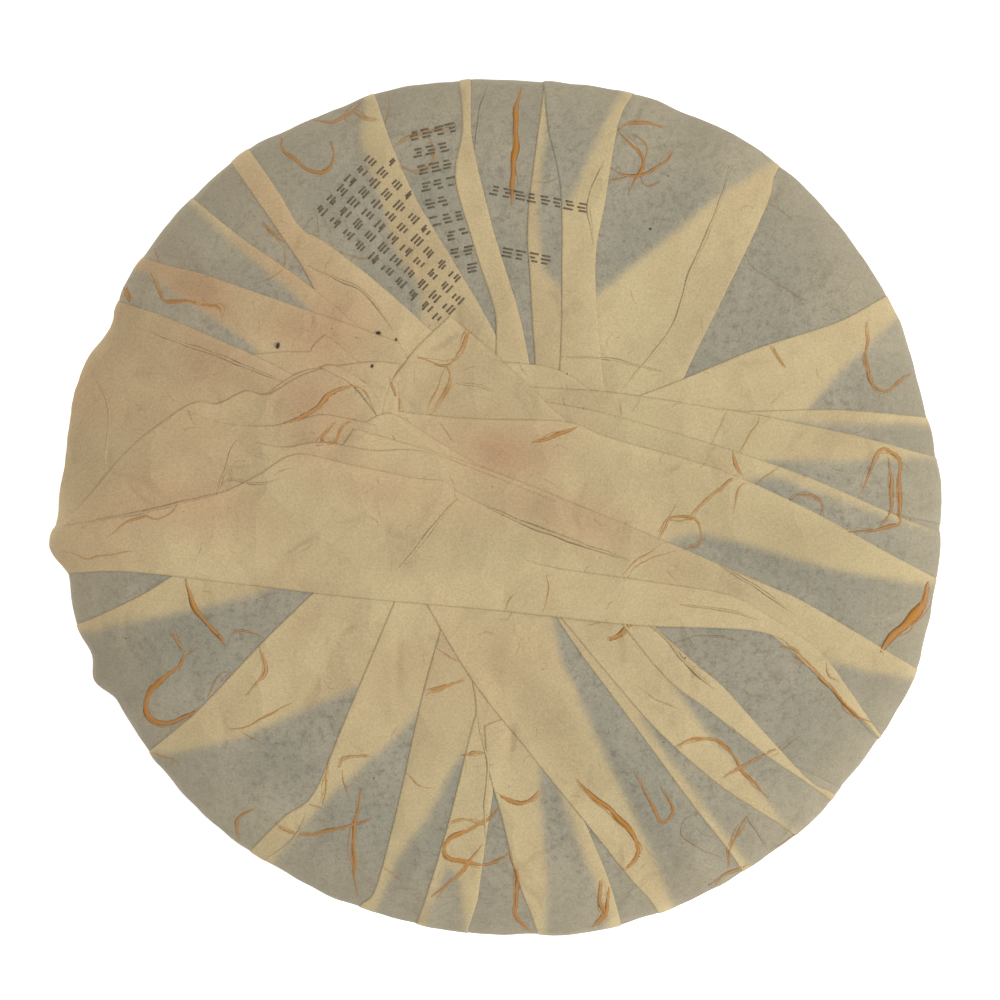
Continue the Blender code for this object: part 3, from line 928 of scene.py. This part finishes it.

# strands of bark in the paper, soft crease lines with painted shade, faded marks and crumbs
fibres = [  # width, strength, points; the width tapers to both ends
    (1.3, 0.9, [(-87, 50.5), (-86.3, 48.4), (-85.9, 46.7)]),
    (0.8, 0.9, [(-81.2, 53.4), (-78.9, 49), (-77.6, 46.9), (-73.8, 47.1), (-69.7, 46.1), (-65, 45.4),
                (-64.2, 42.8)]),
    (0.4, 0.4, [(-79.9, 59.3), (-78.9, 55.6)]),
    (0.7, 0.8, [(-55.2, 64.9), (-52.7, 62.4), (-49.8, 59.8)]),
    (0.5, 0.4, [(-50, 59.5), (-50.1, 55.2), (-52.7, 52.1), (-56.8, 50.5)]),
    (1.0, 0.9, [(-50.4, 84.7), (-50.4, 81.4), (-47.5, 78.6), (-44.4, 76.5), (-41, 76.2), (-38.8, 80),
                (-39.6, 83.2)]),
    (0.9, 0.7, [(-43.9, 88.3), (-39.3, 88.1), (-35.7, 89.9), (-32.1, 93)]),
    (0.7, 0.6, [(-35.2, 91), (-31.6, 88.8), (-28.8, 88.1)]),
    (0.5, 0.5, [(-37.2, 90.1), (-35.2, 87.3)]),
    (0.5, 0.6, [(-26.7, 95), (-26.2, 91.2), (-27, 87)]),
    (0.4, 0.4, [(-43.2, 68.3), (-42.6, 64.9), (-42.1, 61.1)]),
    (0.5, 0.4, [(-37.2, 57.5), (-34.2, 56.7), (-28.5, 56.3)]),
    (1.0, 0.5, [(-25.5, 82), (-22, 84), (-17.5, 85.5), (-12, 86.8)]),
    (0.8, 0.5, [(-24, 77.5), (-20, 76), (-17, 77.5), (-16, 81), (-17.5, 85.5)]),
    (1.8, 1.0, [(3.9, 95.8), (2.8, 89.6), (2.4, 79.8), (2, 73.7), (1.4, 68.5)]),
    (0.4, 0.4, [(5.9, 74), (9, 73.8), (12.4, 74.8)]),
    (1.0, 0.8, [(26, 86), (29.8, 87.8), (37, 86.5)]),
    (0.9, 0.9, [(26.5, 85.5), (28.3, 82.9), (30.8, 80.6), (31.6, 78.8), (30.8, 75.7), (28.3, 71.1)]),
    (0.6, 0.7, [(29.8, 85.2), (32.1, 82.9), (32.4, 80.4), (30.8, 75.7)]),
    (0.9, 0.8, [(24.2, 77.3), (27.3, 75.7), (30.3, 75.2), (33.9, 76.5), (37, 78.8), (38.6, 81.4)]),
    (0.6, 0.6, [(23.6, 74.2), (27, 74.6), (30.3, 75.2)]),
    (0.6, 0.6, [(31.1, 75.2), (32.4, 73.2), (36, 73.9)]),
    (0.5, 0.25, [(55, 57.2), (57.6, 53.6), (63.3, 50), (70.5, 46.2)]),
    (0.5, 0.2, [(60.7, 69), (63.5, 67.5), (66.3, 64.9)]),
    (0.7, 0.7, [(59.9, 36.6), (62.2, 34), (64.3, 31.5)]),
    (0.9, 0.8, [(82.9, 42), (82.8, 37.2), (82.5, 33.6), (83.6, 29.5), (85.4, 26.9), (87.9, 26.4),
                (90.5, 28.4),
                (93.6, 30.5)]),
    (0.4, 0.3, [(50.7, 21.8), (48.9, 17.2), (47.3, 14.3)]),
    (0.5, 0.6, [(57.9, 20.8), (57.6, 18.7), (55, 14.6), (53.5, 12.5)]),
    (0.9, 0.7, [(52, 12.5), (53, 8.9), (54, 6.9)]),
    (1.0, 0.6, [(53, 6.9), (49.9, 4.8), (45.3, 0.7), (42.2, -2.9)]),
    (0.5, 0.6, [(55, 5.9), (53, 3.3), (52.5, -1.9)]),
    (0.4, 0.5, [(57.1, 5.1), (62.7, 8.9)]),
    (0.8, 0.7, [(64.8, 1.2), (66.9, 2.5), (69.9, 2.3), (72.3, 0.2), (72, -2.4)]),
    (0.7, 0.75, [(35, -6.5), (37, -3.4), (40.1, -2.4), (43.7, -3.1), (45, -5.5), (44.5, -8.6),
                 (40.6, -9.9)]),
    (1.1, 0.8, [(81.3, 2.8), (83.3, 7.9), (84.6, 11), (86.4, 12.8), (89, 12), (90.5, 10), (90.3, 4.8),
                (90.3, -2.4),
                (89.5, -4.4), (83.8, -5.5), (78.2, -5.7)]),
    (1.2, 0.7, [(88, 11), (88.3, 3.3), (88.2, -1.9), (85.4, -4.7)]),
    (2.8, 1.0, [(97.5, -17.3), (96.2, -21.9), (91.6, -27.1), (88, -30.6), (85.9, -33.4)]),
    (0.8, 0.7, [(63, -31.6), (66.3, -32.7), (69.4, -36.3), (73.5, -40.4)]),
    (1.1, 1.0, [(66, -34.6), (70, -36.6), (73.5, -40.4), (76.6, -44), (79.7, -47), (84, -49.5)]),
    (0.5, 0.6, [(73.5, -35.3), (74, -38.9), (76.6, -40.2)]),
    (0.6, 0.5, [(35, -7.5), (37.3, -3.4), (39.3, 0.5)]),
    (0.5, 0.6, [(27, -15.7), (30.1, -12.6), (35.7, -8.5)]),
    (0.4, 0.5, [(28, -16.2), (31.1, -13.2), (39.3, -9.6)]),
    (0.4, 0.25, [(26.2, 24.6), (26.7, 20.5)]),
    (1.1, 0.75, [(6.4, 14.6), (11.6, 15.9), (16.7, 17.9)]),
    (0.5, 0.5, [(0.5, -23.7), (0.8, -22.4), (1.8, -20.1)]),
    (0.4, 0.6, [(9.5, -15.7), (10.3, -19.9), (8.5, -24.5)]),
    (0.7, 0.7, [(-19.8, 33.6), (-13.1, 32.2), (-10, 35.6), (-8.2, 39.2), (-9.2, 39.6), (-10, 36.5)]),
    (0.7, 0.65, [(-13.6, 32), (-12.1, 30.5), (-12.6, 27.5), (-15.2, 23.3), (-16.7, 20.8)]),
    (0.5, 0.6, [(-13.6, 31.6), (-15.7, 25.4), (-17.7, 21.3)]),
    (0.8, 0.7, [(-26, 29), (-24.7, 25.9), (-23.6, 21.8)]),
    (0.5, 0.6, [(-37.8, 26.7), (-34.2, 27.2), (-31.1, 25.1), (-28.5, 19.7)]),
    (1.5, 0.7, [(-50.1, 19), (-46.5, 20), (-42.9, 21.8), (-40, 25.1), (-37.2, 26.9), (-34.2, 27.2)]),
    (0.8, 0.75, [(-33.6, 19.8), (-36.7, 18.2), (-37.8, 16.1), (-38.8, 14.2), (-41.6, 14.9), (-40.8, 16.7),
                 (-38.3, 19)]),
    (0.4, 0.3, [(-14.7, 18.7), (-12.6, 16.7), (-11.3, 14.3)]),
    (0.6, 0.55, [(-73.5, 0.7), (-75.1, -1.3), (-78.9, -3), (-81.2, -2.1), (-84.1, -2.9), (-86.9, -4.7),
                 (-90.2, -7.5)]),
    (0.5, 0.5, [(-100, -10.6), (-97.4, -11.1), (-94.9, -12), (-91.8, -11.2), (-84, -10.5)]),
    (1.5, 0.9, [(-72.5, -16.5), (-72, -19.3), (-69.7, -24), (-66.6, -27.6), (-63.5, -31.7)]),
    (0.6, 0.6, [(-63, -31), (-61.4, -28.8), (-59.4, -28.3), (-54.7, -30.1)]),
    (0.7, 0.7, [(-76.3, -27.8), (-74.4, -31), (-72.7, -33.5)]),
    (1.7, 0.95, [(-72.5, -33.5), (-74.3, -36.6), (-78.4, -39.6), (-81.5, -43.8), (-82, -46.8),
                 (-80.5, -49.4),
                 (-77.9, -49.9), (-73.8, -48.4), (-69.6, -46.3)]),
    (0.6, 0.6, [(-72.7, -34.3), (-69.7, -32.2)]),
    (1.0, 0.6, [(-56, -31.7), (-54.5, -35.3), (-54.7, -38.4), (-58.3, -43)]),
    (0.6, 0.5, [(-61.4, -37.8), (-64, -37.8), (-65.5, -39.9), (-67.6, -43.5)]),
    (0.6, 0.75, [(-63, -51), (-60.4, -50.7), (-57.3, -49.4), (-53.2, -47.4), (-48, -44.8)]),
    (0.4, 0.5, [(-59.9, -51.2), (-54.2, -54.6)]),
    (0.6, 0.6, [(-81.7, -56.6), (-78.9, -56.9), (-75.8, -58.2), (-74.3, -59.4)]),
    (0.8, 0.7, [(-61.2, -76.9), (-61, -72.6), (-59.9, -70.8), (-56.8, -69)]),
    (1.1, 0.85, [(-32.4, -63.8), (-33.4, -69), (-34.2, -76.2), (-34.2, -83.4), (-33.4, -89.5)]),
    (0.9, 0.85, [(-52.2, -72.6), (-48.6, -74.4), (-46, -74.9), (-41.9, -74.6), (-36.2, -73.1),
                 (-30, -71)]),
    (0.7, 0.6, [(-39.8, -57.6), (-40.6, -63.8), (-41.4, -68)]),
    (0.7, 0.6, [(-37.8, -59.5), (-36.2, -57.1), (-30.6, -56.9)]),
    (0.5, 0.5, [(-37, -60), (-36.5, -63), (-35.2, -66.4)]),
    (0.5, 0.5, [(-44.4, -67.9), (-40.8, -69)]),
    (0.5, 0.5, [(-27.8, -82.1), (-24.9, -84.1), (-22.9, -87)]),
    (0.9, 0.75, [(-18, -42.2), (-13.6, -40.9), (-9, -39.4)]),
    (0.5, 0.6, [(-15.2, -32.4), (-12.6, -34.5), (-10, -35.5)]),
    (0.8, 0.7, [(-9.3, -56.9), (-7, -56.2), (-4.4, -56.1)]),
    (0.5, 0.5, [(-22.4, -60.7), (-19.3, -63.3), (-15.7, -64.3)]),
    (1.2, 0.9, [(-1, -65.4), (1.3, -67.2), (3.9, -67.7), (6.4, -66.6), (8, -64.8)]),
    (1.2, 0.9, [(-1, -68.7), (-2.8, -70.5), (-6.9, -73.1), (-11.6, -75.4), (-13.6, -77.7),
                (-13.1, -79.8), (-10, -81),
                (-3.9, -81.6), (-0.3, -80), (1.3, -78.7)]),
    (1.0, 0.8, [(-4.9, -77.2), (-8.5, -81.8), (-12.6, -86), (-16.5, -89.3)]),
    (0.7, 0.7, [(-12.5, -72), (-8, -71.5), (-3, -73)]),
    (1.2, 0.9, [(1.3, -78.7), (2.8, -84.4), (2.8, -90.6), (3.3, -94.7), (6.9, -98.8)]),
    (1.5, 1.0, [(16.7, -61.8), (19.8, -65.9), (24.4, -69.2), (28, -73), (30.3, -77.2), (29.6, -80.8),
                (27.5, -83.4)]),
    (1.3, 0.9, [(22.1, -85.4), (21.8, -90.6), (22.9, -93.7), (20.3, -96.7)]),
    (1.3, 0.9, [(23.7, -87), (23.4, -92.6), (21, -96)]),
    (0.9, 0.8, [(29.6, -60.2), (32.1, -64.8), (34.2, -69.5), (36.2, -72), (38.3, -70), (37.3, -66.4),
                (35.7, -63.8)]),
    (0.4, 0.5, [(19, -27), (20.8, -26.5), (23.9, -25.8)]),
    (1.6, 0.9, [(23.9, -30.6), (26.5, -29.1), (28.8, -27)]),
    (1.0, 0.9, [(39.1, -54.3), (42.7, -53), (46.8, -53), (49.9, -54.6), (52.5, -57.1), (54, -59.7),
                (57.1, -63.3),
                (60.2, -66.9)]),
    (0.9, 0.6, [(50, -62), (54, -59.7), (58.1, -57.1), (63.3, -55)]),
    (0.5, 0.3, [(60.7, -57.1), (63.3, -55.6), (68.4, -52)]),
    (0.5, 0.4, [(44.7, -70.5), (41.1, -71.5), (40.6, -75.4), (45.3, -78.2), (49.9, -80.5)]),
    (0.8, 0.7, [(55.5, -71), (53, -75.1), (51.9, -78.2), (51.4, -82.8)]),
    (0.9, 0.7, [(46.8, -87), (50.9, -84.4), (56, -82)]),
    (0.5, 0.35, [(38, -31.5), (44, -29.5), (55, -30.8)]),
    (0.5, 0.5, [(62, -78), (65, -76), (67.5, -74.2)]),
    (0.35, 0.4, [(30, -41), (35, -44), (40, -46)]),
]
creases = [  # width, darkness of the painted shade, points: fold lines that show faintly through a sheet or stand on it
    (0.7, 0.20, [(-83.4, 40.8), (-73.3, 37.1), (-63.5, 33.6), (-49.5, 27.9)]),
    (0.6, 0.15, [(-94, 31), (-90, 22), (-91, 8)]),
    (0.6, 0.15, [(-59.9, 15.9), (-61.9, 13.1), (-63.5, 7.9), (-65.3, 2.8)]),
    (0.7, 0.12, [(-10.5, 1.8), (-15.2, -3.4), (-20.3, -10.1), (-24, -14)]),
    (0.6, 0.20, [(-44.7, 54.8), (-38, 51.6), (-31.8, 48.6), (-25.1, 39.9)]),
    (0.7, 0.22, [(22.9, 78.8), (19.3, 69.6), (19.8, 63.4), (20.5, 59.3)]),
    (0.7, 0.18, [(51.4, 77.8), (48.9, 68.5), (42.2, 52.6), (38.6, 41.3), (32.4, 33.1), (27.2, 26.9)]),
    (0.7, 0.25, [(-3.3, 97.3), (-5.4, 90.1), (-6.7, 81.4)]),
    (0.6, 0.20, [(-5.9, -47.9), (-4.9, -53.5), (-3.6, -59.7), (-4.4, -69), (-4.1, -76.2)]),
    (0.6, 0.18, [(-2, 26), (-6, 27.4), (-11, 28)]),
    (0.6, 0.30, [(-45, -69.7), (-47, -74.6), (-50.6, -78.2), (-55, -81.3)]),
    (0.6, 0.25, [(55.5, -71), (58, -74.5), (60.4, -78.7)]),
    (0.8, 0.45, [(32.9, -27), (37.5, -30.9), (40.1, -34.2), (43.7, -38.1), (47.8, -41.7)]),
    (0.6, 0.18, [(-96, -5), (-91.8, -3.1), (-84.1, -1.9), (-73.8, 0.7), (-65.5, 2.8)]),
    (0.5, 0.20, [(-65.3, 2.8), (-63.5, 5.6), (-61.4, 5.9), (-55.8, 5.1), (-50.1, 6.4)]),
    (0.9, 0.22, [(-4.9, 0.2), (6, -4.5), (17, -8.5), (29, -12.5)]),
    (0.5, 0.18, [(40, -22.5), (50, -23.6), (58, -26)]),
    (0.6, 0.15, [(49, -13.4), (58, -18.9), (66, -24.5)]),
    (0.5, 0.15, [(36.5, 30.5), (30, 32), (24, 33.5), (13.1, 34)]),
]
strandSet = {
    "step": 0.7,
    "stand": 0.035,      # height of a strand's middle above the paper; its sides meet the paper
    "creaseStand": 0.08,
    "creaseWidth": 1.5,
    # strength of the painted shade along a crease line
    "creaseShadeStrength": 0.25,
    "wander": 0.18,      # a strand is never quite smooth
    "creaseWander": 0.06,
    "thinnest": 0.12,
    "hairs": 190,        # hair-thin strands all over
    "fray": 0.38,        # how far loose hairs stray from a strand
}


def strandMesh(rows, kind):
    verts = []
    faces = []
    values = {"layers": [], "blush": [], "fibre": [], "creaseShade": [], "toneAndHighlight": []}
    for width, strength, points in rows:
        line = np.array(curveThrough(points, strandSet["step"]))
        n = len(line)
        along = np.linspace(0, 1, n)
        wobble = strandSet["wander"] if kind == "fibre" else strandSet["creaseWander"]
        phase = rng.uniform(0, 6.28, 4)
        side = np.gradient(line, axis=0)
        side = np.stack([-side[:, 1], side[:, 0]], 1) / np.maximum(np.hypot(side[:, 0], side[:, 1]), 1e-6)[:, None]
        sway = np.sin(n * 0.31 * along + phase[0]) + 0.6 * np.sin(n * 0.73 * along + phase[1])
        line = line + side * (wobble * sway)[:, None]
        taper = np.clip(np.sin(math.pi * np.clip(along * 0.97 + 0.015, 0, 1)), 0, 1) ** 0.55
        taper = taper * (0.85 + 0.15 * np.sin(n * 0.5 * along + phase[2]))
        half = np.maximum(width * taper, strandSet["thinnest"]) / 2
        stand = strandSet["stand"] if kind == "fibre" else strandSet["creaseStand"]
        rings = []
        for offset, lift in ((-1, 0.0), (0, stand), (1, 0.0), (0, -0.12)):
            flat = toFlat(line + side * (offset * half)[:, None])
            rings.append((flat, sample(height, flat) + lift))
        first = len(verts)
        spots = [toSpace(flat, lift) for flat, lift in rings]
        shade = strength * (0.55 + 0.45 * taper)
        flatMid = rings[1][0]
        for i in range(n):
            for k in range(4):
                verts.append(spots[k][i])
                # on crease lines this strength is painted shade, strongest along the middle
                s = shade[i] * (1.0 if k == 1 else 0.85 if kind == "fibre" else 0.1)
                values["fibre"].append(s if kind == "fibre" else 0.0)
                values["creaseShade"].append(s if kind == "creaseShade" else 0.0)
        creamHere = sample(layerMap, flatMid)
        values["layers"] += np.repeat(creamHere, 4).tolist()
        values["blush"] += np.repeat(sample(blush, flatMid) * (0.15 + 0.85 * creamHere), 4).tolist()
        values["toneAndHighlight"] += [0.5] * (4 * n)
        for i in range(n - 1):
            a = first + 4 * i
            faces += [(a + k, a + (k + 1) % 4, a + 4 + (k + 1) % 4, a + 4 + k) for k in range(4)]
        end = first + 4 * (n - 1)
        faces += [(first + 3, first + 2, first + 1, first), (end, end + 1, end + 2, end + 3)]
    return verts, faces, values


def makeStrands():
    frayed = list(fibres)
    for width, strength, points in fibres:
        if width < 0.7:
            continue
        for _ in range(2):
            stray = rng.normal(0, strandSet["fray"], (len(points), 2)) * (0.6 + 0.5 * width)
            loose = [(x + dx, y + dy) for (x, y), (dx, dy) in zip(points, stray)]
            frayed.append((0.35, 0.75 * strength, loose))
    verts, faces, values = strandMesh(frayed, "fibre")
    addPiece("bark_strands", verts, faces, paperMat, values)
    fine = []
    for _ in range(strandSet["hairs"]):
        a = rng.uniform(0, 2 * math.pi)
        r = 97 * math.sqrt(rng.uniform())
        turn = rng.uniform(0, math.pi)
        bend = rng.uniform(-0.6, 0.6)
        long = rng.uniform(1.5, 4.5)
        x = r * math.cos(a)
        y = r * math.sin(a)
        mid = (x + 0.5 * long * math.cos(turn), y + 0.5 * long * math.sin(turn))
        end = (x + long * math.cos(turn + bend), y + long * math.sin(turn + bend))
        if math.hypot(*end) < 97:
            fine.append((0.3, rng.uniform(0.08, 0.25), [(x, y), mid, end]))
    verts, faces, values = strandMesh(fine, "fibre")
    addPiece("fine_strands", verts, faces, paperMat, values)
    # crease lines: a low ridge with painted shade along it
    soft = [(strandSet["creaseWidth"] * width, strandSet["creaseShadeStrength"] * dark, points)
            for width, dark, points in creases]
    verts, faces, values = strandMesh(soft, "creaseShade")
    addPiece("crease_lines", verts, faces, paperMat, values)


makeStrands()
print("strands and creases made")

sheetNumbers = {name: i for i, name in enumerate(foldedSheets, 1)}
marks = {
    "long": 2.3, "thick": 0.42, "apart": 0.85, "lift": 0.03, "stand": 0.03,
    # start of the first row, step to the next row, row direction in degrees, marks in each row, pitch, sheets
    "rows": [
        ((-41.3, 67.4), (2.95, -2.75), 46, (6, 7, 8, 8, 8, 7, 7, 7, 4, 5), 3.15, ("print_sheet",)),
        ((-20.5, 84.6), (0.95, -3.95), 12, (4, 3, 4, 4, 3, 4, 3, 3, 4), 2.9, ("under",)),
        ((-2.2, 71.8), (0.2, -13.6), -11, (8, 5), 2.9, ("under", "top_middle_fold", "tall_fold")),
    ],
}


def makeMarks():
    # rows of short bars stand where the paper is printed
    verts = []
    faces = []
    for start, step, turn, counts, pitch, names in marks["rows"]:
        allowed = {sheetNumbers.get(name, 0) for name in names}
        c = math.cos(math.radians(turn))
        s = math.sin(math.radians(turn))
        for row, count in enumerate(counts):
            for k in range(count):
                for side in (-1, 0, 1):
                    x = start[0] + row * step[0] + k * pitch * c - side * marks["apart"] * s
                    y = start[1] + row * step[1] + k * pitch * s + side * marks["apart"] * c
                    long = marks["long"] * rng.uniform(0.5, 1.0)
                    x += rng.uniform(-0.35, 0.35)
                    corners = np.array([(u * long / 2, v * marks["thick"] / 2)
                                        for u, v in ((-1, -1), (0, -1), (1, -1), (1, 1), (0, 1),
                                        (-1, 1))])
                    spot = np.stack([x + corners[:, 0] * c - corners[:, 1] * s,
                                     y + corners[:, 0] * s + corners[:, 1] * c], 1)
                    flat = toFlat(spot)
                    i = np.clip(((flat[:, 1] + gridHalf) / gridStep).round().astype(int), 0, gridN - 1)
                    j = np.clip(((flat[:, 0] + gridHalf) / gridStep).round().astype(int), 0, gridN - 1)
                    if not all(number in allowed for number in topSheet[i, j]):
                        continue
                    low = toSpace(flat, sample(height, flat) - 0.05)
                    high = toSpace(flat, sample(height, flat) + marks["lift"] + marks["stand"])
                    a = len(verts)
                    verts += [*low, *high]
                    faces += [(a + 5, a + 4, a + 1, a), (a + 4, a + 3, a + 2, a + 1),
                              (a + 6, a + 7, a + 10, a + 11), (a + 7, a + 8, a + 9, a + 10)]
                    faces += [(a + m, a + (m + 1) % 6, a + 6 + (m + 1) % 6, a + 6 + m) for m in range(6)]
    addPiece("faded_marks", verts, faces, inkMat)


makeMarks()

crumbs = {
    "placed": [(-51.4, 36.4, 1.3), (-28.6, 39.4, 1.1), (-24.5, 37.8, 0.7), (-30, 31.8, 0.8),
               (33.3, 63.1, 0.6)],
    "loose": 26,
}


def makeCrumbs():
    verts = []
    faces = []
    spots = list(crumbs["placed"])
    for _ in range(crumbs["loose"]):
        a = rng.uniform(0, 2 * math.pi)
        r = 92 * math.sqrt(rng.uniform())
        spots.append((r * math.cos(a), r * math.sin(a), rng.uniform(0.15, 0.35)))
    for x, y, size in spots:
        flat = toFlat([(x, y)])
        middle = toSpace(flat, sample(height, flat) + 0.2 * size)[0]
        turn = rng.uniform(0, math.pi)
        first = len(verts)
        rings, around = 5, 7
        for i in range(rings):
            up = math.pi * (i + 0.5) / rings
            for k in range(around):
                a = 2 * math.pi * k / around
                rough = rng.uniform(0.75, 1.15)
                u = 0.62 * size * math.sin(up) * math.cos(a) * rough
                v = 0.36 * size * math.sin(up) * math.sin(a) * rough
                verts.append(middle + mm * np.array([u * math.cos(turn) - v * math.sin(turn),
                                                     u * math.sin(turn) + v * math.cos(turn),
                                                     0.3 * size * math.cos(up)]))
        for i in range(rings - 1):
            for k in range(around):
                a = first + i * around + k
                b = first + i * around + (k + 1) % around
                faces.append((a, a + around, b + around, b))
        faces.append(tuple(first + k for k in range(around)))
        faces.append(tuple(first + (rings - 1) * around + k for k in reversed(range(around))))
    addPiece("tea_crumbs", verts, faces, teaMat)


makeCrumbs()
print("marks and crumbs made")

# stage
stage = {
    "frameWidth": 0.2304,
    "distance": 1.25,
    "middle": (-0.00092, 0.00138),
    "floor": (0.93, 0.93, 0.93),
    "floorGlow": 0.60,
    "lampSize": 0.9,
    "keyPlace": (1.15, -0.45, 1.15),
    "keyPower": 17.6,
    "fillPlace": (-0.6, 0.9, 1.2),
    "fillPower": 5.6,
    "worldLight": 0.55,
}


def makeStage():
    bpy.ops.mesh.primitive_plane_add(size=6.0, location=(0, 0, -0.0003))
    floor = bpy.context.object
    floor.name = "table_top"
    mat = bpy.data.materials.new("paleTable")
    mat.use_nodes = True
    shader = mat.node_tree.nodes["Principled BSDF"]
    shader.inputs["Base Color"].default_value = (*stage["floor"], 1)
    shader.inputs["Roughness"].default_value = 0.9
    shader.inputs["Specular IOR Level"].default_value = 0.1
    shader.inputs["Emission Color"].default_value = (1, 1, 1, 1)
    shader.inputs["Emission Strength"].default_value = stage["floorGlow"]
    floor.data.materials.append(mat)
    for name, place, power in (
        ("softRight", stage["keyPlace"], stage["keyPower"]),
        ("softLeft", stage["fillPlace"], stage["fillPower"]),
    ):
        lamp = bpy.data.lights.new(name, "AREA")
        lamp.size = stage["lampSize"]
        lamp.energy = power
        holder = bpy.data.objects.new(name, lamp)
        holder.location = place
        holder.rotation_mode = "QUATERNION"
        holder.rotation_quaternion = (-holder.location).to_track_quat("-Z", "Y")
        bpy.context.scene.collection.objects.link(holder)
    world = bpy.context.scene.world or bpy.data.worlds.new("studio")
    bpy.context.scene.world = world
    world.use_nodes = True
    back = world.node_tree.nodes["Background"]
    back.inputs["Color"].default_value = (1, 1, 1, 1)
    back.inputs["Strength"].default_value = stage["worldLight"]
    data = bpy.data.cameras.new("overhead")
    data.sensor_width = 36.0
    data.lens = 36.0 * stage["distance"] / stage["frameWidth"]
    data.clip_start = 0.05
    camera = bpy.data.objects.new("overhead", data)
    camera.location = (*stage["middle"], cake["rimHeight"] * mm + stage["distance"])
    bpy.context.scene.collection.objects.link(camera)
    bpy.context.scene.camera = camera
    bpy.context.scene.view_settings.view_transform = "Standard"


makeStage()
print("stage made")
